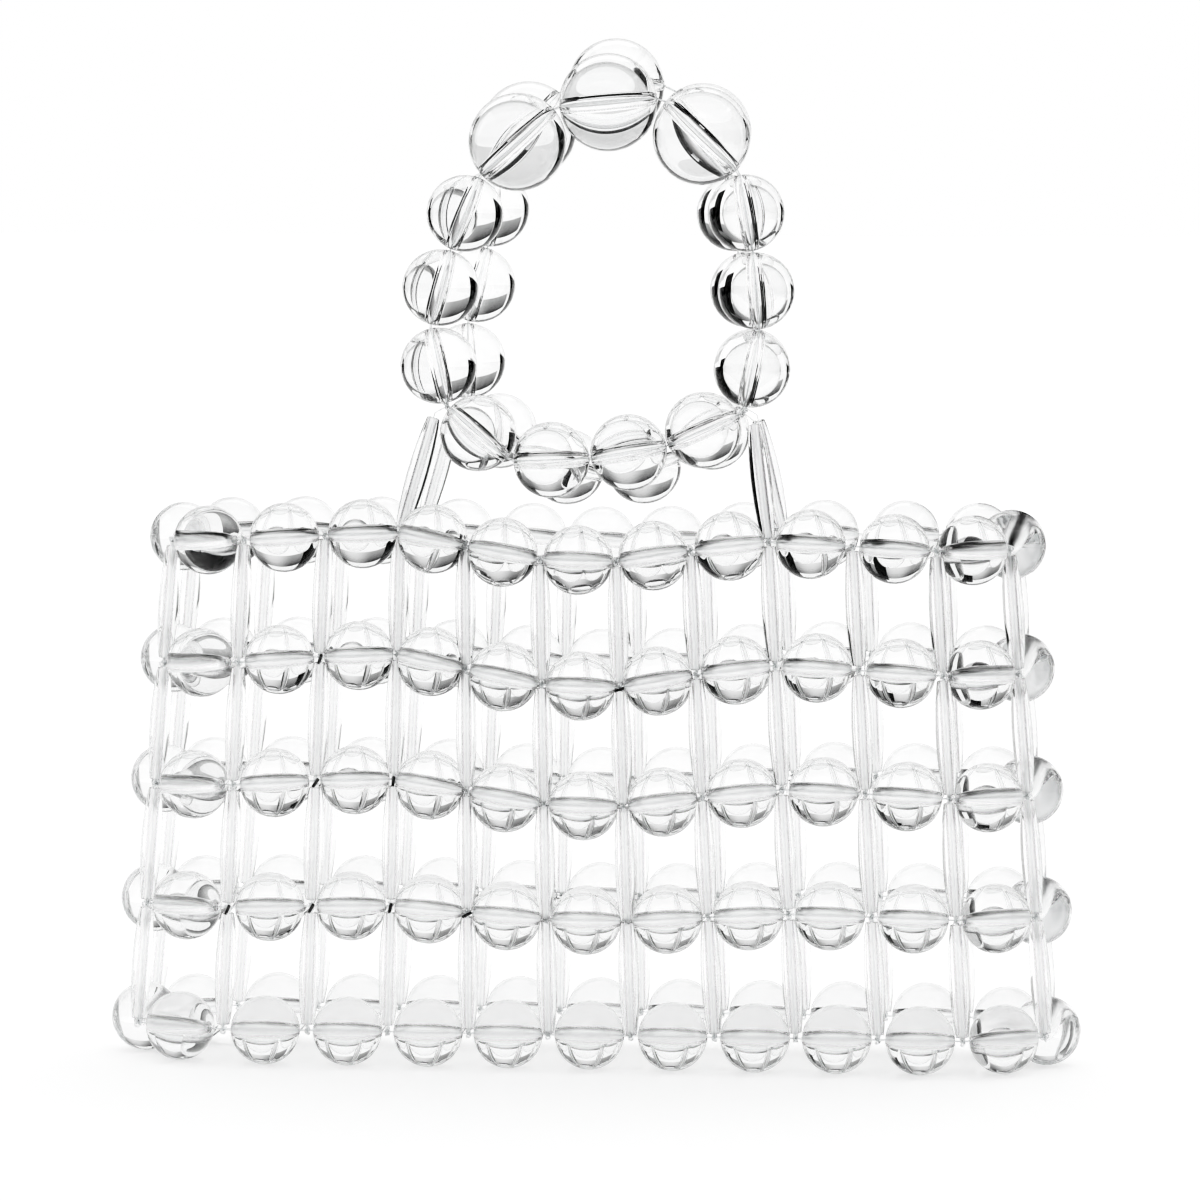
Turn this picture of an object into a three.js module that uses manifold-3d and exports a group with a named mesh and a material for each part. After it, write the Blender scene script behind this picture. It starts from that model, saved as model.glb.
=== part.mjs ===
// Ring handle bag: clear acrylic beads strung on nylon thread. Millimetres, +Z up, front panel towards -Y.
//
// The body is a net, one bead deep at its two ends and open at the mouth and in the middle. Five level rows of
// round beads run round it as closed strings, and 24 upright strands of long beads tie the rows together, one
// at each gap between two round beads. Two rings of round beads stand on the mouth, front and back, each held
// by two long link beads. The bag stands on its lowest row.

import * as THREE from 'three';
import Module from 'manifold-3d';
import { LoftGeometry } from 'three/addons/geometries/LoftGeometry.js';
import { mergeVertices } from 'three/addons/utils/BufferGeometryUtils.js';

const manifold = await Module();
manifold.setup();

// Beads, by diameter and length
const BODY_BEAD = 20;
const MEDIUM_BEAD = 22;
const LARGE_BEAD = 28;
const LONG_BEAD = 6;
const LONG_LENGTH = 33;

// Thread, knots and clearances
const THREAD = 1.2;
const BORE = 2.6;
const BEAD_GAP = 0.4;
const TOP_SLACK = 2;
const BASE_SLACK = 4;
const TIER_SLACK = 2.5;
const CROSSING = 3.1;
const CROSSING_EASE = 0.16;
const KNOT_TAIL = 0.4;
const SEAT_GAP = 0.6;

// Net and rings
const ROWS = 5;
const COLUMNS = 12;
const LIFT = 5;
const FOLD = 2;
const RING_GAP = 4;
const LINK_COLUMNS = { left: 3, right: 8 };
const LINK_LEAD = 4;

// Facets of one bead, and the belt that stands in for the fullest part of a small one
const SIDES = 10;
const BELT = 0.41;
const SHOULDER = { along: 0.7, out: 0.74 };

// The width of a link bead at shares of its length
const LINK_PROFILE = [
  { share: 0, width: THREAD },
  { share: 0.25, width: 0.9 * LONG_BEAD },
  { share: 0.5, width: LONG_BEAD },
  { share: 0.75, width: 0.9 * LONG_BEAD },
  { share: 1, width: THREAD },
];

// How much of the mouth's sag each row keeps, from the mouth down
const SAG_KEPT = [1, 1.15, 0.95, 0.45, 0];

// The crossings of each panel, from the left. Shifts sideways at the mouth and at the base, and the way out
// from the middle plane, are in bead pitches. Lifts are shares of LIFT.
const CROSSINGS = {
  front: [
    { mouth: 0.01, base: 0, lift: -0.2, mouthOut: 0.52, baseOut: 0.5 },
    { mouth: 0.045, base: 0.117, lift: 0.1, mouthOut: 1.14, baseOut: 0.94 },
    { mouth: 0.11, base: 0.142, lift: 0.4, mouthOut: 1.09, baseOut: 0.92 },
    { mouth: 0.073, base: 0.117, lift: 0.5, mouthOut: 0.88, baseOut: 0.92 },
    { mouth: -0.04, base: 0.1, lift: -0.1, mouthOut: 1.16, baseOut: 0.93 },
    { mouth: -0.082, base: 0.06, lift: -0.9, mouthOut: 1, baseOut: 0.92 },
    { mouth: -0.08, base: 0.06, lift: -1, mouthOut: 1, baseOut: 0.92 },
    { mouth: -0.11, base: 0.067, lift: -0.3, mouthOut: 1.05, baseOut: 0.93 },
    { mouth: -0.105, base: 0.04, lift: 0.16, mouthOut: 0.91, baseOut: 0.92 },
    { mouth: 0, base: 0.025, lift: 0, mouthOut: 1.05, baseOut: 0.92 },
    { mouth: 0.086, base: 0.04, lift: -0.2, mouthOut: 1.14, baseOut: 0.94 },
    { mouth: 0, base: 0, lift: -0.3, mouthOut: 0.52, baseOut: 0.5 },
  ],
  back: [
    { mouth: 0.127, base: 0.03, lift: -0.1, mouthOut: 0.52, baseOut: 0.5 },
    { mouth: 0.02, base: 0, lift: -0.14, mouthOut: 1.14, baseOut: 0.94 },
    { mouth: 0.02, base: 0, lift: -0.12, mouthOut: 1.05, baseOut: 0.92 },
    { mouth: 0.114, base: 0.01, lift: -0.04, mouthOut: 0.91, baseOut: 0.92 },
    { mouth: 0.136, base: 0.01, lift: -0.26, mouthOut: 1.02, baseOut: 0.93 },
    { mouth: 0.064, base: 0, lift: -0.52, mouthOut: 1, baseOut: 0.92 },
    { mouth: -0.02, base: 0, lift: -0.6, mouthOut: 1.02, baseOut: 0.93 },
    { mouth: -0.09, base: 0, lift: -0.38, mouthOut: 0.98, baseOut: 0.92 },
    { mouth: -0.06, base: 0, lift: -0.06, mouthOut: 1, baseOut: 0.93 },
    { mouth: 0.036, base: 0, lift: -0.08, mouthOut: 1.05, baseOut: 0.92 },
    { mouth: 0.064, base: 0, lift: -0.12, mouthOut: 1.14, baseOut: 0.94 },
    { mouth: 0.01, base: 0, lift: -0.12, mouthOut: 0.52, baseOut: 0.5 },
  ],
};

// The beads of each ring, from the lowest one of its left side up, over the top and back along its foot.
// A heading is the way of a bead's bore, in degrees from +X towards +Z. Inset and rise set the ring's left
// corner inside and above the crossing that holds its link, in medium beads.
const RINGS = {
  front: {
    inset: 0.6,
    rise: 1.65,
    beads: [
      { size: MEDIUM_BEAD, heading: 102 },
      { size: MEDIUM_BEAD, heading: 75 },
      { size: MEDIUM_BEAD, heading: 68 },
      { size: LARGE_BEAD, heading: 42 },
      { size: LARGE_BEAD, heading: 5 },
      { size: LARGE_BEAD, heading: -44 },
      { size: MEDIUM_BEAD, heading: -80 },
      { size: MEDIUM_BEAD, heading: -85 },
      { size: MEDIUM_BEAD, heading: -101 },
      { size: MEDIUM_BEAD, heading: -156 },
      { size: MEDIUM_BEAD, heading: -170 },
      { size: MEDIUM_BEAD, heading: -178 },
      { size: MEDIUM_BEAD, heading: -221 },
    ],
  },
  back: {
    inset: 0.65,
    rise: 1.72,
    beads: [
      { size: MEDIUM_BEAD, heading: 90 },
      { size: MEDIUM_BEAD, heading: 75 },
      { size: MEDIUM_BEAD, heading: 84 },
      { size: LARGE_BEAD, heading: 50 },
      { size: LARGE_BEAD, heading: 2 },
      { size: LARGE_BEAD, heading: -56 },
      { size: MEDIUM_BEAD, heading: -85 },
      { size: MEDIUM_BEAD, heading: -75 },
      { size: MEDIUM_BEAD, heading: -99 },
      { size: MEDIUM_BEAD, heading: -143 },
      { size: MEDIUM_BEAD, heading: -164 },
      { size: MEDIUM_BEAD, heading: -194 },
      { size: MEDIUM_BEAD, heading: -221 },
    ],
  },
};

// The left and right corners of a ring, where its links are tied, by the number of beads before them
const RING_CORNERS = { left: 0, right: 9 };

const UP = new THREE.Vector3(0, 0, 1);
const acrylic = new THREE.MeshStandardMaterial({ color: 0xeef1f3, roughness: 0.04, metalness: 0 });
const spun = new THREE.MeshStandardMaterial({ color: 0xe2e6e9, roughness: 0.2, metalness: 0 });

const lerp = THREE.MathUtils.lerp;
const way = { front: -1, back: 1 };

// Where a strand crosses a row
function crossing(side, column, row) {
  const knot = CROSSINGS[side][column];
  const down = row / (ROWS - 1);
  const pitch = BODY_BEAD + lerp(TOP_SLACK, BASE_SLACK, down);
  const tier = LONG_LENGTH + TIER_SLACK;
  return new THREE.Vector3(
    (column - (COLUMNS - 1) / 2 + lerp(knot.mouth, knot.base, down)) * pitch,
    way[side] * lerp(knot.mouthOut, knot.baseOut, down) * pitch,
    BODY_BEAD / 2 + (ROWS - 1 - row) * tier + knot.lift * LIFT * SAG_KEPT[row],
  );
}

// The crossings of one row in the order of its string: along the front from the left, then back along the back
function rowCrossings(row) {
  const columns = [...Array(COLUMNS).keys()];
  return [
    ...columns.map((column) => crossing('front', column, row)),
    ...columns.reverse().map((column) => crossing('back', column, row)),
  ];
}

// The crossings before and after a given one on its row
function neighbours(knots, number) {
  return { before: knots.at(number - 1), after: knots[(number + 1) % knots.length] };
}

// The level direction in which a strand passes a row, square to the row: on the side where the two beads
// beside it stand further apart at the mouth, so out of the bag, or into it where the net is folded in
function passing(knots, number) {
  const { before, after } = neighbours(knots, number);
  const out = new THREE.Vector3().subVectors(after, before).cross(UP).setZ(0).normalize();
  const mouth = rowCrossings(0);
  const fold = neighbours(mouth, number);
  const bulge = mouth[number].clone().multiplyScalar(2).sub(fold.before).sub(fold.after);
  return bulge.dot(out) < -FOLD ? out.negate() : out;
}

// How far from a crossing each of its two strings passes: nearer where the beads beside it leave more room
function passingOffset(knots, number) {
  const { before, after } = neighbours(knots, number);
  const pitch = (before.distanceTo(knots[number]) + after.distanceTo(knots[number])) / 2;
  return (CROSSING - CROSSING_EASE * (pitch - BODY_BEAD)) / 2;
}

// One ten-sided section square to a string. A neck has its points in pairs, so it is a pentagon.
function section({ at, along, up, radius, neck }) {
  const side = new THREE.Vector3().crossVectors(up, along).normalize();
  const over = new THREE.Vector3().crossVectors(along, side).normalize();
  const points = [];
  for (let corner = 0; corner < SIDES; corner += 1) {
    const turn = neck ? 2 * Math.floor(corner / 2) + 0.5 : corner;
    const angle = (turn / SIDES) * 2 * Math.PI;
    const reach = neck ? radius : radius / Math.cos(Math.PI / SIDES);
    const point = at.clone();
    point.addScaledVector(side, reach * Math.cos(angle));
    point.addScaledVector(over, reach * Math.sin(angle));
    points.push(point);
  }
  return points;
}

// A closed body from a geometry: shared corners are merged, and triangles that fell flat are dropped
function closedBody(geometry) {
  const bare = new THREE.BufferGeometry();
  bare.setAttribute('position', geometry.attributes.position);
  bare.setIndex(geometry.index);
  const merged = mergeVertices(bare);
  const kept = [];
  for (let first = 0; first < merged.index.count; first += 3) {
    const [a, b, c] = [0, 1, 2].map((corner) => merged.index.getX(first + corner));
    if (a !== b && b !== c && c !== a) kept.push(a, b, c);
  }
  merged.setIndex(kept);
  return merged;
}

// Joins closed bodies into one
function joined(geometries) {
  const solids = geometries.map((geometry) => new manifold.Manifold(new manifold.Mesh({
    numProp: 3,
    vertProperties: new Float32Array(geometry.attributes.position.array),
    triVerts: new Uint32Array(geometry.index.array),
  })));
  const mesh = solids.reduce((whole, solid) => whole.add(solid)).getMesh();
  const geometry = new THREE.BufferGeometry();
  geometry.setAttribute('position', new THREE.BufferAttribute(mesh.vertProperties, 3));
  geometry.setIndex(new THREE.BufferAttribute(mesh.triVerts, 1));
  return geometry;
}

// A named piece of the bag
function piece(name, geometry, material) {
  geometry.computeVertexNormals();
  const mesh = new THREE.Mesh(geometry, material);
  mesh.name = name;
  return mesh;
}

// One row: 24 round beads on a closed string, which gives way to each strand
function rowString(row) {
  const knots = rowCrossings(row);
  const stations = [];
  knots.forEach((knot, number) => {
    const { before, after } = neighbours(knots, number);
    const along = new THREE.Vector3().subVectors(after, before).normalize();
    const neck = knot.clone().addScaledVector(passing(knots, number), -passingOffset(knots, number));
    stations.push({ at: neck, along, radius: THREAD / 2, neck: true });

    const axis = new THREE.Vector3().subVectors(after, knot).normalize();
    const middle = new THREE.Vector3().addVectors(knot, after).multiplyScalar(0.5);
    for (const end of [-BELT, BELT]) {
      const at = middle.clone().addScaledVector(axis, (end * BODY_BEAD) / 2);
      stations.push({ at, along: axis, radius: BODY_BEAD / 2, neck: false });
    }
  });
  const sections = stations.map((station) => section({ ...station, up: UP }));
  return closedBody(new LoftGeometry([...sections, sections[0]]));
}

// The place of a crossing on its row's string
function place(side, column) {
  return side === 'front' ? column : 2 * COLUMNS - 1 - column;
}

// One strand: long beads on a string that passes each row on one side and is knotted at both ends
function strandString(side, column) {
  const stations = [];
  for (let row = 0; row < ROWS; row += 1) {
    const knots = rowCrossings(row);
    const number = place(side, column);
    const up = passing(knots, number);
    const neck = knots[number].clone().addScaledVector(up, passingOffset(knots, number));
    if (row === 0) neck.z += KNOT_TAIL;
    if (row === ROWS - 1) neck.z -= KNOT_TAIL;
    stations.push({ at: neck, up, radius: THREAD / 2, neck: true });
    if (row < ROWS - 1) {
      const middle = crossing(side, column, row + 1).add(knots[number]).multiplyScalar(0.5);
      stations.push({ at: middle, up, radius: LONG_BEAD / 2, neck: false });
    }
  }
  stations.forEach((station, number) => {
    const before = stations[Math.max(number - 1, 0)].at;
    const after = stations[Math.min(number + 1, stations.length - 1)].at;
    station.along = new THREE.Vector3().subVectors(after, before).normalize();
  });
  return closedBody(new LoftGeometry(stations.map(section), { capStart: true, capEnd: true }));
}

// The beads of one ring by middle, axis and size, with the turn of the thread before each. Two beads touch
// beside a turn, so the turn stands off them. What the headings leave open is shared out along the string.
function ringBeads(side) {
  const { inset, rise, beads } = RINGS[side];
  const corner = crossing(side, LINK_COLUMNS.left, 0);
  corner.add(new THREE.Vector3(inset, 0, rise).multiplyScalar(MEDIUM_BEAD));
  corner.setY((way[side] * (LARGE_BEAD + RING_GAP)) / 2);
  const angles = beads.map(({ heading }) => THREE.MathUtils.degToRad(heading));
  const walker = corner.clone();
  const strung = beads.map(({ size }, number) => {
    const { before, after } = neighbours(angles, number);
    const axis = new THREE.Vector3(Math.cos(angles[number]), 0, Math.sin(angles[number]));
    const half = (size + BEAD_GAP) / 2;
    const turn = walker.clone();
    const at = walker.addScaledVector(axis, half / Math.abs(Math.cos((angles[number] - before) / 2))).clone();
    walker.addScaledVector(axis, half / Math.abs(Math.cos((after - angles[number]) / 2)));
    return { turn, at, axis, size };
  });
  const open = new THREE.Vector3().subVectors(corner, walker);
  strung.forEach(({ turn, at }, number) => {
    turn.addScaledVector(open, number / beads.length);
    at.addScaledVector(open, (number + 0.5) / beads.length);
  });
  return strung;
}

// One drilled round bead about +Y
function drilledBead(size) {
  const [radius, bore] = [size / 2, BORE / 2];
  const end = Math.sqrt(radius ** 2 - bore ** 2);
  const fullest = radius / Math.cos(Math.PI / SIDES);
  const profile = [
    new THREE.Vector2(bore, -end),
    new THREE.Vector2(SHOULDER.out * radius, -SHOULDER.along * radius),
    new THREE.Vector2(fullest, 0),
    new THREE.Vector2(SHOULDER.out * radius, SHOULDER.along * radius),
    new THREE.Vector2(bore, end),
    new THREE.Vector2(bore, -end),
  ];
  return closedBody(new THREE.LatheGeometry(profile, SIDES));
}

// One link bead on its thread, from a ring's corner down to the end of the strand below it
function linkString(corner, lead, foot) {
  const shoulder = corner.clone().addScaledVector(lead, LINK_LEAD);
  const run = new THREE.Vector3().subVectors(foot, shoulder);
  const along = run.clone().normalize();
  const stations = [{ at: corner, along: lead, radius: THREAD / 2, neck: true }];
  for (const { share, width } of LINK_PROFILE) {
    const at = shoulder.clone().addScaledVector(run, share);
    stations.push({ at, along, radius: width / 2, neck: width === THREAD });
  }
  const up = new THREE.Vector3(0, 1, 0);
  const sections = stations.map((station) => section({ ...station, up }));
  return closedBody(new LoftGeometry(sections, { capStart: true, capEnd: true }));
}

// The thread of one ring with its two link beads
function ringString(side) {
  const turns = ringBeads(side).map(({ turn }) => turn);
  const up = new THREE.Vector3(0, 1, 0);
  const sections = turns.map((turn, number) => {
    const { before, after } = neighbours(turns, number);
    const along = new THREE.Vector3().subVectors(after, before).normalize();
    return section({ at: turn, along, up, radius: THREAD / 2, neck: true });
  });
  const thread = closedBody(new LoftGeometry([...sections, sections[0]]));
  const mouth = rowCrossings(0);
  const links = ['left', 'right'].map((end) => {
    const corner = turns[RING_CORNERS[end]];
    const { before, after } = neighbours(turns, RING_CORNERS[end]);
    const lead = corner.clone().multiplyScalar(2).sub(before).sub(after).normalize();
    const number = place(side, LINK_COLUMNS[end]);
    const foot = mouth[number].clone().addScaledVector(passing(mouth, number), passingOffset(mouth, number));
    foot.z += KNOT_TAIL + SEAT_GAP;
    return linkString(corner, lead, foot);
  });
  return joined([thread, ...links]);
}

const bag = new THREE.Group();

for (let row = 0; row < ROWS; row += 1) {
  bag.add(piece(`row_${row + 1}`, rowString(row), acrylic));
}

for (const side of ['front', 'back']) {
  for (let column = 0; column < COLUMNS; column += 1) {
    bag.add(piece(`${side}_strand_${column}`, strandString(side, column), acrylic));
  }
  ringBeads(side).forEach(({ at, axis, size }, number) => {
    const bead = piece(`${side}_ring_bead_${number + 1}`, drilledBead(size), acrylic);
    bead.position.copy(at);
    bead.quaternion.setFromUnitVectors(new THREE.Vector3(0, 1, 0), axis);
    bag.add(bead);
  });
  bag.add(piece(`${side}_ring_string`, ringString(side), spun));
}

// The bag stands on its lowest row, over the middle of its own outline
const outline = new THREE.Box3().setFromObject(bag, true);
const middle = outline.getCenter(new THREE.Vector3());
bag.position.set(-middle.x, -middle.y, -outline.min.z);

export default bag;
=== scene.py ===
"""Ring handle bag: a net of clear acrylic beads on nylon thread, with two rings of round beads as handles.

The rows, strands and rings follow the same tables as the part's source, in metres. Each round bead is a
drilled ball and each long bead a drilled spindle, so what is seen through them comes from their real shape.
"""

import math

import bpy
import numpy as np
from mathutils import Matrix, Vector


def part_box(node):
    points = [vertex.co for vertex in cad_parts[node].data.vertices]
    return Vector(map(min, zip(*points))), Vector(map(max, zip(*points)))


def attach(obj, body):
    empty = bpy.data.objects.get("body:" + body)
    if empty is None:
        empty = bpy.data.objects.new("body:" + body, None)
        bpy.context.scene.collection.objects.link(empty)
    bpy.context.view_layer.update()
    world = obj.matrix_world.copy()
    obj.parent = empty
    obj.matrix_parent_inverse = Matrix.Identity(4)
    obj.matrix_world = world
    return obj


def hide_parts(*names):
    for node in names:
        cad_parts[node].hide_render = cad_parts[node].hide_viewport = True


bl_info = {
    "name": "Ring handle bag",
    "version": (1, 0, 0),
    "blender": (4, 5, 0),
    "location": "View3D > Sidebar > Bag",
    "description": "Strings the acrylic beads of a ring handle bag over its packed solids",
    "category": "Object",
}

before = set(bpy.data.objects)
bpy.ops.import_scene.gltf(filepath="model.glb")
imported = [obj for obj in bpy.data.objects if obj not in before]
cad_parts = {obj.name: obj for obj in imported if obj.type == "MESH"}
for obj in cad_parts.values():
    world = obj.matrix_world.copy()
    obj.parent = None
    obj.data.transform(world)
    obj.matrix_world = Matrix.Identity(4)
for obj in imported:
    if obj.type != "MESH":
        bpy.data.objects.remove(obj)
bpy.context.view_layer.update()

MM = 0.001
ROWS = 5
COLUMNS = 12

# How much of the mouth's sag each row keeps, from the mouth down
SAG_KEPT = (1, 1.15, 0.95, 0.45, 0)

# The crossings of each panel, from the left: shifts sideways at the mouth and at the base, the lift at the
# mouth, and the way out from the middle plane at the mouth and at the base. Lifts are shares of the largest
# lift, and the others are in bead pitches.
CROSSINGS = {
    "front": (
        (0.01, 0, -0.2, 0.52, 0.5),
        (0.045, 0.117, 0.1, 1.14, 0.94),
        (0.11, 0.142, 0.4, 1.09, 0.92),
        (0.073, 0.117, 0.5, 0.88, 0.92),
        (-0.04, 0.1, -0.1, 1.16, 0.93),
        (-0.082, 0.06, -0.9, 1, 0.92),
        (-0.08, 0.06, -1, 1, 0.92),
        (-0.11, 0.067, -0.3, 1.05, 0.93),
        (-0.105, 0.04, 0.16, 0.91, 0.92),
        (0, 0.025, 0, 1.05, 0.92),
        (0.086, 0.04, -0.2, 1.14, 0.94),
        (0, 0, -0.3, 0.52, 0.5),
    ),
    "back": (
        (0.127, 0.03, -0.1, 0.52, 0.5),
        (0.02, 0, -0.14, 1.14, 0.94),
        (0.02, 0, -0.12, 1.05, 0.92),
        (0.114, 0.01, -0.04, 0.91, 0.92),
        (0.136, 0.01, -0.26, 1.02, 0.93),
        (0.064, 0, -0.52, 1, 0.92),
        (-0.02, 0, -0.6, 1.02, 0.93),
        (-0.09, 0, -0.38, 0.98, 0.92),
        (-0.06, 0, -0.06, 1, 0.93),
        (0.036, 0, -0.08, 1.05, 0.92),
        (0.064, 0, -0.12, 1.14, 0.94),
        (0.01, 0, -0.12, 0.52, 0.5),
    ),
}

# Each ring's inset and rise from its link, in medium beads, and the headings of its bores in degrees from +X
# towards +Z, from the lowest bead of its left side up, over the top and back along its foot. The fourth to
# sixth beads are the large ones.
RINGS = {
    "front": (0.6, 1.65, (102, 75, 68, 42, 5, -44, -80, -85, -101, -156, -170, -178, -221)),
    "back": (0.65, 1.72, (90, 75, 84, 50, 2, -56, -85, -75, -99, -143, -164, -194, -221)),
}
LARGE_PLACES = (3, 4, 5)
WAY = {"front": -1, "back": 1}

# The cards round the bag, each between two corners in metres, with its brightness at its foot and top and
# how much lighter its middle is
CARDS = (
    ("left_flag", (-0.7, 0.136, 0.165), (-0.191, 0.136, 0.6), 0, 0, 0),
    ("left_fade", (-1, 0.3, 0.085), (-0.45, 0.3, 0.135), 0.6, 0.1, 0),
    ("right_low", (0.27, 0.2, 0), (0.8, 0.2, 0.13), 0.5, 0.6, 0),
    ("right_flag", (0.42, 0.5, 0.135), (0.95, 0.5, 1.5), 0, 0, 0),
    ("right_side", (1.05, -0.7, 0), (1.05, 0.42, 1.2), 0, 0, 0),
    ("right_strip", (0.105, 0.12, 0.16), (0.148, 0.12, 0.3), 0, 0, 0),
    ("upper_flag", (-0.9, 0.8, 0.41), (0.9, 0.8, 0.86), 0.45, 0.02, 0.35),
    ("upper_right", (0.3, 0.78, 0.8), (1.8, 0.78, 1.8), 0, 0, 0),
    ("overhead", (-0.9, -0.7, 1.2), (0.9, 0.6, 1.2), 0.03, 0.03, 0),
)
# The front crossings, by row and column from 0, where the thread is tied off with a dark melted end, and the
# lean of each end in degrees
TIED_OFF = ((1, 2, 20), (1, 6, 70), (2, 2, 35), (2, 3, 10), (3, 1, 25), (3, 2, 30), (3, 3, 15), (3, 4, 60))
# The columns that carry the link beads, and the ring beads whose corners they meet
LINK_COLUMNS = (3, 8)
RING_CORNERS = (0, 9)
UP = Vector((0, 0, 1))
# The bead of the front ring that sets the tables over the solids
KEY_BEAD = 4
# The points along the bore in a bead's outline, which stand at its end
BORE_STEPS = 9
# The sides of each kind of bead, and the points over its outside from end to end
BODY_FACETS = (48, 24)
MEDIUM_FACETS = (52, 28)
LARGE_FACETS = (60, 32)
LONG_FACETS = (56, 16)
# How a long bead slims towards its ends: their width as a share of the full one
LONG_END = 0.6
# The power that fills out the cosine of a swollen bore and of a long bead
FULLNESS = 0.8
# The steepest edge, in degrees, that is still shaded smooth
SMOOTH_ANGLE = 40
# How much the turn about the string grows from one bead or knot to the next, and a link knot's turn, in
# radians
BODY_ROLL = 0.7
RING_ROLL = 0.9
KNOT_ROLL = 1.7
LINK_KNOT_ROLL = 0.4
# The points round a knot, the thread's thickness in it, and its sides
KNOT_POINTS = 30
KNOT_THREAD = 1.7
KNOT_SIDES = 6
# Where the two threads of a string part after a knot and close before the next, as shares of the way, and how
# much of their distance they keep there
PART_AT = 0.1
CLOSE_AT = 0.9
CLOSE_KEPT = 0.7
# Where a ring's thread leaves a bead, as a share of the bead's size from its middle
BORE_END = 0.49
# A melted end: how far forward and down it stands and half its length, in widths of the knot. Then its lean
# to the front and its points along it, as shares of that half length, and its thickness in threads.
END_FORWARD = 0.45
END_DOWN = 0.2
END_REACH = 0.55
END_LEAN = 0.25
END_STEPS = (-1, -0.5, 0.6, 1)
END_THREAD = 3
# How far a link's thread stands off its ring before the link bead
LINK_LEAD = 4 * MM
# The finish of each kind of bead: how fine its haze is, how strong its marks are, how white its clouded
# places are, how far its marks are drawn out along it, and how dull its bores are
ACRYLICS = {
    "round_bead_acrylic": (60.0, 1.0, 0.93, 1.0, 0.3),
    "long_bead_acrylic": (260.0, 0.7, 0.93, 0.1, 0.4),
    "ring_bead_acrylic": (50.0, 0.8, 0.98, 1.0, 0.0),
}
# The haze of the acrylic: the power that thins it out and its greatest roughness
HAZE_POWER = 4
HAZE_ROUGHNESS = 0.05
# The least roughness of the nylon and of the melted ends, and what the noise adds to it
NYLON_ROUGHNESS = (0.3, 0.3)
MELTED_ROUGHNESS = (0.05, 0.3)
# The second tint of the nylon, and the soot on the melted ends
CLOUDED_NYLON = (0.95, 0.96, 0.96, 1)
SOOT_DARK = (0.005, 0.005, 0.005, 1)
SOOT_GREY = (0.12, 0.12, 0.12, 1)
# The surround's brightness in front of the bag, and the contrast curve's points
FRONT_LIGHT = 0.42
CONTRAST = ((0.1, 0.018), (0.3, 0.22), (0.65, 0.69))
# The floor's half width, how far it lies under the beads' undersides, its own white and what it adds
FLOOR_REACH = 6
FLOOR_DROP = 0.0002
FLOOR_WHITE = 0.75
FLOOR_GLOW = 0.43
BOUNCES = 24


def length_property(name, description, default):
    return bpy.props.FloatProperty(
        name=name, description=description, default=default, min=0, unit="LENGTH", precision=5,
    )


class BagBeads(bpy.types.PropertyGroup):
    body: length_property("Body bead", "Diameter of the round beads of the net", 20 * MM)
    medium: length_property("Ring bead", "Diameter of the ten medium beads of a ring", 22 * MM)
    large: length_property("Crown bead", "Diameter of the three large beads of a ring", 28 * MM)
    long: length_property("Long bead", "Width of a long bead at its middle", 6 * MM)
    long_length: length_property("Long bead length", "Length of a long bead", 33 * MM)
    bore: length_property("Bore", "Diameter of the hole through a round bead at its ends", 2.3 * MM)
    waist: length_property("Bore inside", "Diameter of that hole in the middle of the bead", 3.6 * MM)
    long_bore: length_property("Long bore", "Diameter of the hole through a long bead", 1.9 * MM)
    rim: length_property("Rim", "Width of the polished edge round a bore", 0.25 * MM)


class BagNet(bpy.types.PropertyGroup):
    thread: length_property("Thread", "Diameter of the nylon thread", 0.3 * MM)
    knot: length_property("Knot", "Width of a knot at a crossing", 2.6 * MM)
    top_slack: length_property("Slack at the mouth", "Room for a knot between two beads at the mouth", 2 * MM)
    base_slack: length_property("Slack at the base", "Room for a knot between two beads at the base", 4 * MM)
    tier_slack: length_property("Slack in a tier", "Room for knots above and below a long bead", 2.5 * MM)
    bead_gap: length_property("Ring slack", "Room between two beads of a ring", 0.4 * MM)
    ring_gap: length_property("Gap between rings", "Room between the two rings", 4 * MM)
    lift: length_property("Lift", "Largest lift of a crossing above or below its row", 5 * MM)


class BagFinish(bpy.types.PropertyGroup):
    acrylic: bpy.props.FloatVectorProperty(
        name="Acrylic", description="Tint of the clear acrylic", subtype="COLOR", size=3,
        default=(0.997, 0.998, 0.998), min=0, max=1,
    )
    acrylic_ior: bpy.props.FloatProperty(
        name="Acrylic index", description="Refractive index of the acrylic", default=1.49, min=1, max=2,
    )
    nylon: bpy.props.FloatVectorProperty(
        name="Nylon", description="Tint of the thread", subtype="COLOR", size=3,
        default=(0.98, 0.985, 0.99), min=0, max=1,
    )
    nylon_ior: bpy.props.FloatProperty(
        name="Nylon index", description="Refractive index of the thread", default=1.53, min=1, max=2,
    )


class BagStage(bpy.types.PropertyGroup):
    light: bpy.props.FloatProperty(
        name="Light", description="Strength of the white surround", default=1.0, min=0,
    )
    azimuth: bpy.props.FloatProperty(
        name="Azimuth", description="Camera's angle round the bag", subtype="ANGLE", default=math.radians(6),
    )
    elevation: bpy.props.FloatProperty(
        name="Elevation", description="Camera's angle above the floor", subtype="ANGLE",
        default=math.radians(5.4),
    )
    distance: length_property("Distance", "From the camera to the bag", 1.93)
    lens: bpy.props.FloatProperty(
        name="Lens", description="Focal length in millimetres", default=200, min=10,
    )
    aim: bpy.props.FloatVectorProperty(
        name="Aim", description="The point in the middle of the picture", size=3, subtype="XYZ",
        unit="LENGTH", default=(0.0021, 0, 0.1338),
    )


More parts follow.
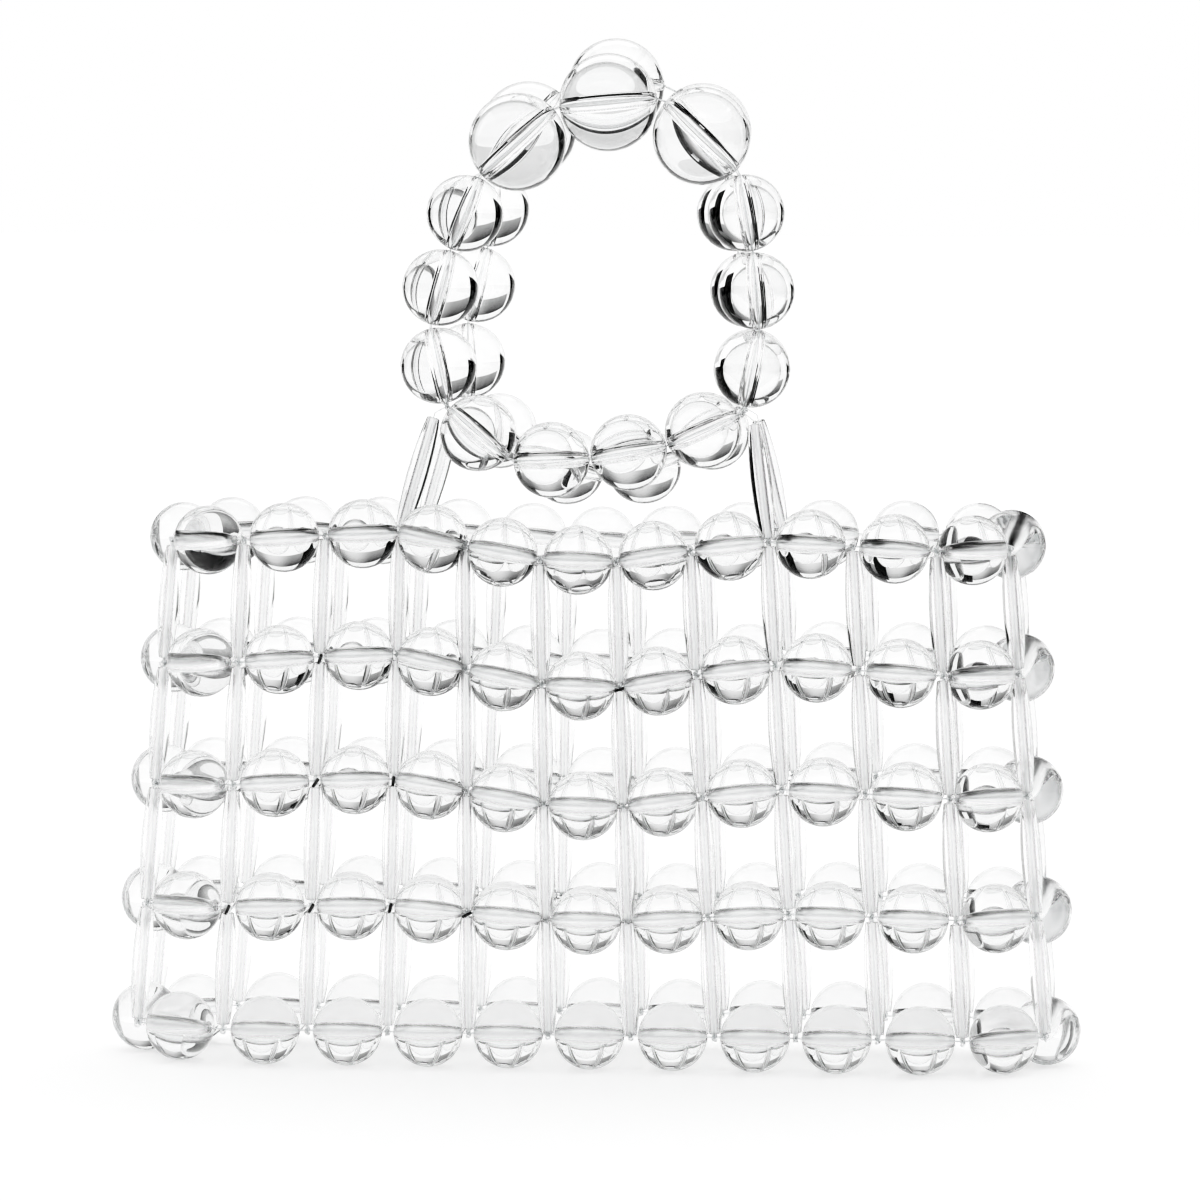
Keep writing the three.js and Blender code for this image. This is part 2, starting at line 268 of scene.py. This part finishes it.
class Socket:
    """A shader value with Python arithmetic."""

    def __init__(self, tree, output):
        self.tree = tree
        self.output = output

    @classmethod
    def of(cls, tree, kind, settings=None, inputs=None, output=0):
        """One output of a new node, from its settings or a ramp's stops, and its inputs' values or links."""
        made = tree.nodes.new(kind)
        for key, value in (settings or {}).items():
            if key == "stops":
                ramp = made.color_ramp
                while len(ramp.elements) < len(value):
                    ramp.elements.new(0.5)
                for element, (place_on_ramp, colour) in zip(ramp.elements, value):
                    element.position = place_on_ramp
                    element.color = colour
            else:
                setattr(made, key, value)
        for key, value in (inputs or {}).items():
            if isinstance(value, Socket):
                tree.links.new(value.output, made.inputs[key])
            else:
                made.inputs[key].default_value = value
        return cls(tree, made.outputs[output])

    def maths(self, operation, other=None, swap=False):
        values = [self, other] if other is not None else [self]
        if swap:
            values.reverse()
        return Socket.of(self.tree, "ShaderNodeMath", {"operation": operation}, dict(enumerate(values)))

    def __add__(self, other):
        return self.maths("ADD", other)

    __radd__ = __add__

    def __mul__(self, other):
        return self.maths("MULTIPLY", other)

    __rmul__ = __mul__

    def __sub__(self, other):
        return self.maths("SUBTRACT", other)

    def __rsub__(self, other):
        return self.maths("SUBTRACT", other, swap=True)


def crossing(bag, side, column, row):
    """Where a strand crosses a row."""
    mouth, base, lift, mouth_out, base_out = CROSSINGS[side][column]
    down = row / (ROWS - 1)
    net, beads = bag.bag_net, bag.bag_beads
    pitch = beads.body + net.top_slack + (net.base_slack - net.top_slack) * down
    tier = beads.long_length + net.tier_slack
    return Vector((
        (column - (COLUMNS - 1) / 2 + mouth + (base - mouth) * down) * pitch,
        WAY[side] * (mouth_out + (base_out - mouth_out) * down) * pitch,
        beads.body / 2 + (ROWS - 1 - row) * tier + lift * net.lift * SAG_KEPT[row],
    ))


def row_crossings(bag, row):
    """The crossings of one row in the order of its string, along the front and then back along the back."""
    front = [crossing(bag, "front", column, row) for column in range(COLUMNS)]
    back = [crossing(bag, "back", column, row) for column in reversed(range(COLUMNS))]
    shift = centring(bag)
    return [point + shift for point in front + back]


def centring(bag):
    """The shift that sets the tables over the solids, which stand over the middle of their outline."""
    low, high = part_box(f"front_ring_bead_{KEY_BEAD + 1}")
    middle = ring_walk(bag, "front")[KEY_BEAD][1]
    return (Vector(low) + Vector(high)) / 2 - middle


def place(side, column):
    return column if side == "front" else 2 * COLUMNS - 1 - column


def ring_beads(bag, side):
    """The beads of one ring over the solids, by turn of the thread before each, middle, axis and size."""
    shift = centring(bag)
    return [(turn + shift, middle + shift, axis, size) for turn, middle, axis, size in ring_walk(bag, side)]


def ring_walk(bag, side):
    """The beads of one ring from bead to bead along its thread, before the shift."""
    beads, net = bag.bag_beads, bag.bag_net
    inset, rise, headings = RINGS[side]
    corner = crossing(bag, side, LINK_COLUMNS[0], 0) + Vector((inset, 0, rise)) * beads.medium
    corner.y = WAY[side] * (beads.large + net.ring_gap) / 2
    angles = [math.radians(heading) for heading in headings]
    walker = corner.copy()
    strung = []
    for number, angle in enumerate(angles):
        size = beads.large if number in LARGE_PLACES else beads.medium
        before = angles[number - 1]
        after = angles[(number + 1) % len(angles)]
        axis = Vector((math.cos(angle), 0, math.sin(angle)))
        half = (size + net.bead_gap) / 2
        turn = walker.copy()
        walker += axis * half / abs(math.cos((angle - before) / 2))
        strung.append([turn, walker.copy(), axis, size])
        walker += axis * half / abs(math.cos((after - angle) / 2))
    spare = corner - walker
    for number, bead in enumerate(strung):
        bead[0] += spare * (number / len(strung))
        bead[1] += spare * ((number + 0.5) / len(strung))
    return strung


def ball_profile(radius, bore, waist, rim, steps):
    """The outline of a drilled ball as radius and height, up its outside and down its bore."""
    start = math.asin((bore + rim) / radius)
    outer = [
        (radius * math.sin(start + (math.pi - 2 * start) * step / steps),
         -radius * math.cos(start + (math.pi - 2 * start) * step / steps))
        for step in range(steps + 1)
    ]
    end = radius * math.cos(start) - rim
    inner = []
    for step in range(BORE_STEPS):
        share = 1 - 2 * step / (BORE_STEPS - 1)
        swell = math.cos(math.pi / 2 * abs(share)) ** FULLNESS if abs(share) < 1 else 0
        inner.append((bore + (waist - bore) * swell, end * share))
    return outer + inner


def spindle_profile(width, length, bore, rim, steps):
    """The outline of a drilled long bead, full at its middle and slimmer at its rounded ends."""
    outer = [(bore + rim / 2, -length / 2)]
    for step in range(steps + 1):
        share = 2 * step / steps - 1
        swell = LONG_END + (1 - LONG_END) * math.cos(math.pi / 2 * abs(share)) ** FULLNESS
        outer.append((width / 2 * swell, share * (length / 2 - rim)))
    outer.append((bore + rim / 2, length / 2))
    end = length / 2 - rim / 2
    inner = [(bore, end - 2 * end * step / (BORE_STEPS - 1)) for step in range(BORE_STEPS)]
    return outer + inner


def turned(profile, sides):
    """A closed body turned from an outline about its own Z."""
    count = len(profile)
    points = []
    for turn in range(sides):
        angle = 2 * math.pi * turn / sides
        points += [(r * math.cos(angle), r * math.sin(angle), z) for r, z in profile]
    faces = []
    for turn in range(sides):
        after = (turn + 1) % sides
        for step in range(count):
            up = (step + 1) % count
            faces.append((turn * count + step, after * count + step, after * count + up, turn * count + up))
    in_bore = np.tile(np.arange(count) >= count - BORE_STEPS, sides)
    return np.array(points), np.array(faces), in_bore


def round_bead(beads, size, facets):
    """A drilled ball of one size, turned about Z."""
    sides, steps = facets
    return turned(ball_profile(size / 2, beads.bore / 2, beads.waist / 2, beads.rim, steps), sides)


def long_bead(beads):
    """A drilled long bead, turned about Z."""
    sides, steps = LONG_FACETS
    return turned(
        spindle_profile(beads.long, beads.long_length, beads.long_bore / 2, beads.rim, steps), sides,
    )


def tube(route, radius, sides=8, closed=False):
    """A round thread along a route of points."""
    points = [Vector(point) for point in route]
    count = len(points)
    rings, faces = [], []
    normal = None
    for number, point in enumerate(points):
        before = points[number - 1] if closed or number else point
        after = points[(number + 1) % count] if closed or number < count - 1 else point
        along = (after - before).normalized()
        if normal is None:
            normal = along.orthogonal().normalized()
        normal = (normal - along * normal.dot(along)).normalized()
        across = along.cross(normal)
        for turn in range(sides):
            angle = 2 * math.pi * turn / sides
            rings.append(point + (normal * math.cos(angle) + across * math.sin(angle)) * radius)
    spans = count if closed else count - 1
    for span in range(spans):
        after = (span + 1) % count
        for turn in range(sides):
            side = (turn + 1) % sides
            low, high = span * sides, after * sides
            faces.append((low + turn, low + side, high + side, high + turn))
    if not closed:
        faces.append(tuple(reversed(range(sides))))
        faces.append(tuple(range((count - 1) * sides, count * sides)))
    return np.array([tuple(point) for point in rings]), faces, np.zeros(len(rings))


def doubled(knots, net):
    """Two threads that share the knots and lie side by side between them, as routes of points."""
    routes = ([], [])
    for number, knot in enumerate(knots):
        after = knots[(number + 1) % len(knots)]
        along = (after - knot).normalized()
        aside = along.cross(UP).normalized()
        aside = (aside * math.cos(number) + along.cross(aside) * math.sin(number)) * net.thread
        for route, sign in zip(routes, (1, -1)):
            off = aside * sign
            route += [knot, knot.lerp(after, PART_AT) + off, knot.lerp(after, CLOSE_AT) + off * CLOSE_KEPT]
    return routes


def standing(centre, axis, roll=0.0):
    """The matrix that stands a body turned about Z on an axis."""
    turn = axis.to_track_quat("Z", "Y").to_matrix().to_4x4()
    return Matrix.Translation(centre) @ turn @ Matrix.Rotation(roll, 4, "Z")


def plain_piece(name, points, faces):
    """A piece of the stage with a plain material, as its object, shader and node tree."""
    mesh = bpy.data.meshes.new(name)
    mesh.from_pydata(points, [], faces)
    material = bpy.data.materials.new(name)
    material.use_nodes = True
    mesh.materials.append(material)
    made = bpy.data.objects.new(name, mesh)
    bpy.context.scene.collection.objects.link(made)
    return made, material.node_tree.nodes["Principled BSDF"], material.node_tree


def strung_mesh(name, parts, material):
    """One mesh of many bodies, each given by its points, faces and bore marks and its copies' matrices."""
    points, faces, marks, offset = [], [], [], 0
    for (body, body_faces, in_bore), matrices in parts:
        for matrix in matrices:
            m = np.array(matrix)
            points.append(body @ m[:3, :3].T + m[:3, 3])
            faces += [tuple(int(corner) + offset for corner in face) for face in body_faces]
            marks.append(in_bore)
            offset += len(body)
    mesh = bpy.data.meshes.new(name)
    mesh.from_pydata(np.concatenate(points).tolist(), [], faces)
    mesh.attributes.new("in_bore", "FLOAT", "POINT").data.foreach_set("value", np.concatenate(marks))
    mesh.validate()
    mesh.shade_smooth()
    mesh.set_sharp_from_angle(angle=math.radians(SMOOTH_ANGLE))
    mesh.materials.append(material)
    made = bpy.data.objects.new(name, mesh)
    bpy.context.scene.collection.objects.link(made)
    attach(made, "root")
    return made


def acrylic_material(bag, name):
    """Clear polished acrylic with faint moulding flow, haze and bores that the drill left duller."""
    grain, marks, clouded, draw, drilled = ACRYLICS[name]
    material = bpy.data.materials.get(name)
    if material:
        return material
    material = bpy.data.materials.new(name)
    material.use_nodes = True
    tree = material.node_tree
    shader = tree.nodes["Principled BSDF"]
    finish = bag.bag_finish
    shader.inputs["Transmission Weight"].default_value = 1
    shader.inputs["IOR"].default_value = finish.acrylic_ior
    place_in = Socket.of(tree, "ShaderNodeTexCoord", output=3)
    cloud = Socket.of(tree, "ShaderNodeTexNoise", inputs={"Vector": place_in, "Scale": 25.0, "Detail": 1})
    tint = Socket.of(tree, "ShaderNodeMix", {"data_type": "RGBA"}, {
        "Factor": cloud, "A": (*finish.acrylic, 1),
        "B": (clouded, clouded + 0.002, clouded + 0.003, 1),
    }, output=2)
    tree.links.new(tint.output, shader.inputs["Base Color"])
    drawn = Socket.of(
        tree, "ShaderNodeVectorMath", {"operation": "MULTIPLY"}, {0: place_in, 1: (1, 1, draw)},
    )
    haze = Socket.of(tree, "ShaderNodeTexNoise", inputs={"Vector": place_in, "Scale": grain, "Detail": 3})
    roughness = haze.maths("POWER", HAZE_POWER) * HAZE_ROUGHNESS * marks
    in_bore = Socket.of(tree, "ShaderNodeAttribute", {"attribute_name": "in_bore"}, output=2)
    tree.links.new((roughness + in_bore * drilled).output, shader.inputs["Roughness"])
    flow = Socket.of(
        tree, "ShaderNodeTexNoise", inputs={"Vector": drawn, "Scale": grain * 0.6, "Detail": 1.5},
    )
    bump = Socket.of(
        tree, "ShaderNodeBump", inputs={"Strength": 0.12 * marks, "Distance": 0.6 * MM, "Height": flow},
    )
    tree.links.new(bump.output, shader.inputs["Normal"])
    return material


def nylon_material(bag):
    """Clear nylon line, a little milky."""
    material = bpy.data.materials.get("nylon_thread")
    if material:
        return material
    material = bpy.data.materials.new("nylon_thread")
    material.use_nodes = True
    tree = material.node_tree
    shader = tree.nodes["Principled BSDF"]
    finish = bag.bag_finish
    shader.inputs["Transmission Weight"].default_value = 1
    shader.inputs["IOR"].default_value = finish.nylon_ior
    place_in = Socket.of(tree, "ShaderNodeTexCoord", output=3)
    cloud = Socket.of(tree, "ShaderNodeTexNoise", inputs={"Vector": place_in, "Scale": 900.0, "Detail": 2})
    tint = Socket.of(tree, "ShaderNodeMix", {"data_type": "RGBA"}, {
        "Factor": cloud, "A": (*finish.nylon, 1), "B": CLOUDED_NYLON,
    }, output=2)
    tree.links.new(tint.output, shader.inputs["Base Color"])
    least, more = NYLON_ROUGHNESS
    tree.links.new((cloud * more + least).output, shader.inputs["Roughness"])
    return material


def melted_material(bag):
    """Thread ends melted to a dark bead, with soot that varies over them."""
    material = bpy.data.materials.new("melted_ends")
    material.use_nodes = True
    tree = material.node_tree
    shader = tree.nodes["Principled BSDF"]
    place_in = Socket.of(tree, "ShaderNodeTexCoord", output=3)
    soot = Socket.of(tree, "ShaderNodeTexNoise", inputs={"Vector": place_in, "Scale": 700.0, "Detail": 2})
    tint = Socket.of(tree, "ShaderNodeMix", {"data_type": "RGBA"}, {
        "Factor": soot, "A": SOOT_DARK, "B": SOOT_GREY,
    }, output=2)
    tree.links.new(tint.output, shader.inputs["Base Color"])
    least, more = MELTED_ROUGHNESS
    tree.links.new((soot * more + least).output, shader.inputs["Roughness"])
    shader.inputs["Coat Weight"].default_value = 0.6
    return material


class BAG_OT_rows(bpy.types.Operator):
    """String the five rows of round beads"""

    bl_idname = "bag.rows"
    bl_label = "Rows of round beads"

    def execute(self, context):
        bag = context.scene
        beads = bag.bag_beads
        material = acrylic_material(bag, "round_bead_acrylic")
        body = round_bead(beads, beads.body, BODY_FACETS)
        for row in range(ROWS):
            knots = row_crossings(bag, row)
            matrices = []
            for number, knot in enumerate(knots):
                after = knots[(number + 1) % len(knots)]
                along = (after - knot).normalized()
                matrices.append(standing((knot + after) / 2, along, BODY_ROLL * number))
            made = strung_mesh(f"row_{row + 1}_beads", [(body, matrices)], material)
            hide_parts(f"row_{row + 1}")
        return {"FINISHED"}


class BAG_OT_strands(bpy.types.Operator):
    """String the long beads of the front and back strands"""

    bl_idname = "bag.strands"
    bl_label = "Strands of long beads"

    def execute(self, context):
        bag = context.scene
        beads = bag.bag_beads
        material = acrylic_material(bag, "long_bead_acrylic")
        body = long_bead(beads)
        for side in ("front", "back"):
            matrices = []
            for column in range(COLUMNS):
                points = [row_crossings(bag, row)[place(side, column)] for row in range(ROWS)]
                for upper, lower in zip(points, points[1:]):
                    matrices.append(standing((upper + lower) / 2, (lower - upper).normalized(), column))
            made = strung_mesh(f"{side}_long_beads", [(body, matrices)], material)
            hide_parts(*[f"{side}_strand_{column}" for column in range(COLUMNS)])
        return {"FINISHED"}


class BAG_OT_rings(bpy.types.Operator):
    """String the round beads of the two ring handles"""

    bl_idname = "bag.rings"
    bl_label = "Ring handles"

    def execute(self, context):
        bag = context.scene
        beads = bag.bag_beads
        material = acrylic_material(bag, "ring_bead_acrylic")
        medium = round_bead(beads, beads.medium, MEDIUM_FACETS)
        large = round_bead(beads, beads.large, LARGE_FACETS)
        for side in ("front", "back"):
            strung = ring_beads(bag, side)
            groups = {True: [], False: []}
            for number, (turn, middle, axis, size) in enumerate(strung):
                groups[number in LARGE_PLACES].append(standing(middle, axis, RING_ROLL * number))
            parts = [(large, groups[True]), (medium, groups[False])]
            made = strung_mesh(f"{side}_ring_beads", parts, material)
            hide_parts(*[f"{side}_ring_bead_{number + 1}" for number in range(len(strung))])
        return {"FINISHED"}


class BAG_OT_thread(bpy.types.Operator):
    """Run the thread through the beads, tie the crossings and hang the link beads"""

    bl_idname = "bag.thread"
    bl_label = "Thread, knots and links"

    def execute(self, context):
        bag = context.scene
        beads, net = bag.bag_beads, bag.bag_net
        nylon = nylon_material(bag)
        acrylic = acrylic_material(bag, "long_bead_acrylic")
        radius = net.thread / 2
        whole = [Matrix.Identity(4)]
        threads = []
        for row in range(ROWS):
            routes = doubled(row_crossings(bag, row), net)
            threads += [(tube(route, radius, closed=True), whole) for route in routes]
        for side in ("front", "back"):
            for column in range(COLUMNS):
                route = [row_crossings(bag, row)[place(side, column)] for row in range(ROWS)]
                threads.append((tube(route, radius), whole))
        loop = []
        for step in range(KNOT_POINTS):
            angle = 2 * math.pi * step / KNOT_POINTS
            loop.append(Vector((
                (math.sin(angle) + 2 * math.sin(2 * angle)) / 6,
                (math.cos(angle) - 2 * math.cos(2 * angle)) / 6,
                -math.sin(3 * angle) / 5,
            )) * net.knot)
        knot = tube(loop, radius * KNOT_THREAD, KNOT_SIDES, closed=True)
        ties = []
        for row in range(ROWS):
            knots = row_crossings(bag, row)
            for number, point in enumerate(knots):
                along = (knots[(number + 1) % len(knots)] - knots[number - 1]).normalized()
                ties.append(standing(point, along, KNOT_ROLL * number + row))
        strung_mesh("net_thread", threads + [(knot, ties)], nylon)

        ends = []
        for row, column, lean in TIED_OFF:
            aside = Vector((0, -net.knot * END_FORWARD, -net.knot * END_DOWN))
            point = row_crossings(bag, row)[column] + aside
            lean = math.radians(lean)
            along = Vector((math.sin(lean), -END_LEAN, math.cos(lean))) * net.knot * END_REACH
            route = [point + along * step for step in END_STEPS]
            ends.append((tube(route, radius * END_THREAD), whole))
        strung_mesh("melted_ends", ends, melted_material(bag))

        link = long_bead(beads)
        for side in ("front", "back"):
            strung = ring_beads(bag, side)
            turns = [bead[0] for bead in strung]
            bores = [
                middle + axis * size * BORE_END * end
                for turn, middle, axis, size in strung
                for end in (-1, 1)
            ]
            parts = [(tube(route, radius, closed=True), whole) for route in doubled(bores, net)]
            ends = []
            for column, number in zip(LINK_COLUMNS, RING_CORNERS):
                corner = turns[number]
                foot = row_crossings(bag, 0)[place(side, column)]
                before, after = turns[number - 1], turns[(number + 1) % len(turns)]
                lead = (corner * 2 - before - after).normalized()
                shoulder = corner + lead * LINK_LEAD
                parts.append((tube([corner, shoulder, foot], radius), whole))
                ends.append(standing((shoulder + foot) / 2, (foot - shoulder).normalized()))
                parts.append((knot, [standing(corner, lead, LINK_KNOT_ROLL)]))
            made = strung_mesh(f"{side}_ring_thread", parts, nylon)
            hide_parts(f"{side}_ring_string")
            strung_mesh(f"{side}_link_beads", [(link, ends)], acrylic)
        return {"FINISHED"}


class BAG_OT_stage(bpy.types.Operator):
    """Set the white floor, the surround with its dark flags, and the camera"""

    bl_idname = "bag.stage"
    bl_label = "Stage and camera"

    def execute(self, context):
        scene = context.scene
        stage = scene.bag_stage
        for name, low, high, bottom, top, middle in CARDS:
            self.card(name, low, high, bottom, top, middle)
        self.floor()
        world = bpy.data.worlds.new("surround")
        scene.world = world
        world.use_nodes = True
        tree = world.node_tree
        background = tree.nodes["Background"]
        background.inputs["Strength"].default_value = stage.light
        way_in = Socket.of(tree, "ShaderNodeTexCoord")
        depth = Socket.of(tree, "ShaderNodeSeparateXYZ", inputs={"Vector": way_in}, output=1)
        height = Socket.of(tree, "ShaderNodeSeparateXYZ", inputs={"Vector": way_in}, output=2)
        front = Socket.of(tree, "ShaderNodeMapRange", {"interpolation_type": "SMOOTHSTEP"}, {
            "Value": depth, "From Min": -0.1, "From Max": 0.25, "To Min": FRONT_LIGHT, "To Max": 1.0,
        })
        above = Socket.of(tree, "ShaderNodeMapRange", {"interpolation_type": "SMOOTHSTEP"}, {
            "Value": height, "From Min": 0.6, "From Max": 0.8, "To Min": 0.0, "To Max": 1.0,
        })
        seen = Socket.of(tree, "ShaderNodeLightPath")
        bright = front.maths("MAXIMUM", above).maths("MAXIMUM", seen)
        colour = Socket.of(
            tree, "ShaderNodeCombineColor", inputs={"Red": bright, "Green": bright, "Blue": bright},
        )
        tree.links.new(colour.output, background.inputs["Color"])
        scene.view_settings.view_transform = "Standard"
        scene.view_settings.use_curve_mapping = True
        curve = scene.view_settings.curve_mapping
        for scene_value, shown in CONTRAST:
            curve.curves[3].points.new(scene_value, shown)
        curve.update()
        scene.cycles.blur_glossy = 0
        scene.cycles.max_bounces = BOUNCES
        scene.cycles.transmission_bounces = BOUNCES
        scene.cycles.glossy_bounces = 16
        scene.cycles.transparent_max_bounces = 16

        camera = bpy.data.objects.new("camera", bpy.data.cameras.new("camera"))
        scene.collection.objects.link(camera)
        a, e = stage.azimuth, stage.elevation
        back = Vector((math.sin(a) * math.cos(e), -math.cos(a) * math.cos(e), math.sin(e)))
        camera.location = Vector(stage.aim) + back * stage.distance
        camera.rotation_euler = back.to_track_quat("Z", "Y").to_euler()
        camera.data.lens = stage.lens
        camera.data.sensor_width = 36
        camera.data.clip_end = 20
        scene.camera = camera
        return {"FINISHED"}

    @staticmethod
    def card(name, low, high, bottom, top, middle):
        """A flat card that only the beads see, between two corners on one level or one side."""
        (x0, y0, z0), (x1, y1, z1) = low, high
        if z0 == z1:
            corners = [(x0, y0, z0), (x1, y0, z0), (x1, y1, z0), (x0, y1, z0)]
        else:
            corners = [(x0, y0, z0), (x1, y1, z0), (x1, y1, z1), (x0, y0, z1)]
        made, shader, tree = plain_piece(name, corners, [(0, 1, 2, 3)])
        shader.inputs["Base Color"].default_value = (0, 0, 0, 1)
        shader.inputs["Specular IOR Level"].default_value = 0
        shader.inputs["Emission Strength"].default_value = 1
        spot = Socket.of(tree, "ShaderNodeTexCoord")
        along = Socket.of(tree, "ShaderNodeSeparateXYZ", inputs={"Vector": spot})
        height = Socket.of(tree, "ShaderNodeSeparateXYZ", inputs={"Vector": spot}, output=2)
        aside = (along - 0.5).maths("ABSOLUTE")
        lighter = Socket.of(tree, "ShaderNodeMapRange", {"interpolation_type": "SMOOTHSTEP"}, {
            "Value": aside, "From Min": 0.02, "From Max": 0.22, "To Min": middle, "To Max": 0.0,
        })
        light = height * (top - bottom) + bottom + lighter
        tree.links.new(light.output, shader.inputs["Emission Color"])
        made.visible_camera = False
        made.visible_shadow = False
        made.visible_diffuse = False
        return made

    @staticmethod
    def floor():
        """The white floor, which glows a little so that its shadows stay faint."""
        reach = FLOOR_REACH
        level = -FLOOR_DROP
        square = ((-reach, -reach), (reach, -reach), (reach, reach), (-reach, reach))
        corners = [(x, y, level) for x, y in square]
        made, shader, tree = plain_piece("floor", corners, [(0, 1, 2, 3)])
        shader.inputs["Base Color"].default_value = (FLOOR_WHITE, FLOOR_WHITE, FLOOR_WHITE, 1)
        shader.inputs["Roughness"].default_value = 1
        shader.inputs["Specular IOR Level"].default_value = 0
        shader.inputs["Emission Color"].default_value = (1, 1, 1, 1)
        shader.inputs["Emission Strength"].default_value = FLOOR_GLOW
        return made


class BAG_PT_panel(bpy.types.Panel):
    """The steps of making the bag, in order"""

    bl_idname = "BAG_PT_panel"
    bl_label = "Ring handle bag"
    bl_space_type = "VIEW_3D"
    bl_region_type = "UI"
    bl_category = "Bag"

    def draw(self, context):
        for step in STEPS:
            self.layout.operator(step.bl_idname)


STEPS = (BAG_OT_stage, BAG_OT_rows, BAG_OT_strands, BAG_OT_rings, BAG_OT_thread)
GROUPS = {"bag_beads": BagBeads, "bag_net": BagNet, "bag_finish": BagFinish, "bag_stage": BagStage}


def register():
    for made in (*GROUPS.values(), *STEPS, BAG_PT_panel):
        bpy.utils.register_class(made)
    for name, group in GROUPS.items():
        setattr(bpy.types.Scene, name, bpy.props.PointerProperty(type=group))


def unregister():
    for name in GROUPS:
        delattr(bpy.types.Scene, name)
    for made in (BAG_PT_panel, *reversed(STEPS), *reversed(GROUPS.values())):
        bpy.utils.unregister_class(made)


def main():
    register()
    bpy.ops.bag.stage()
    bpy.ops.bag.rows()
    bpy.ops.bag.strands()
    bpy.ops.bag.rings()
    bpy.ops.bag.thread()


if __name__ == "__main__":
    main()
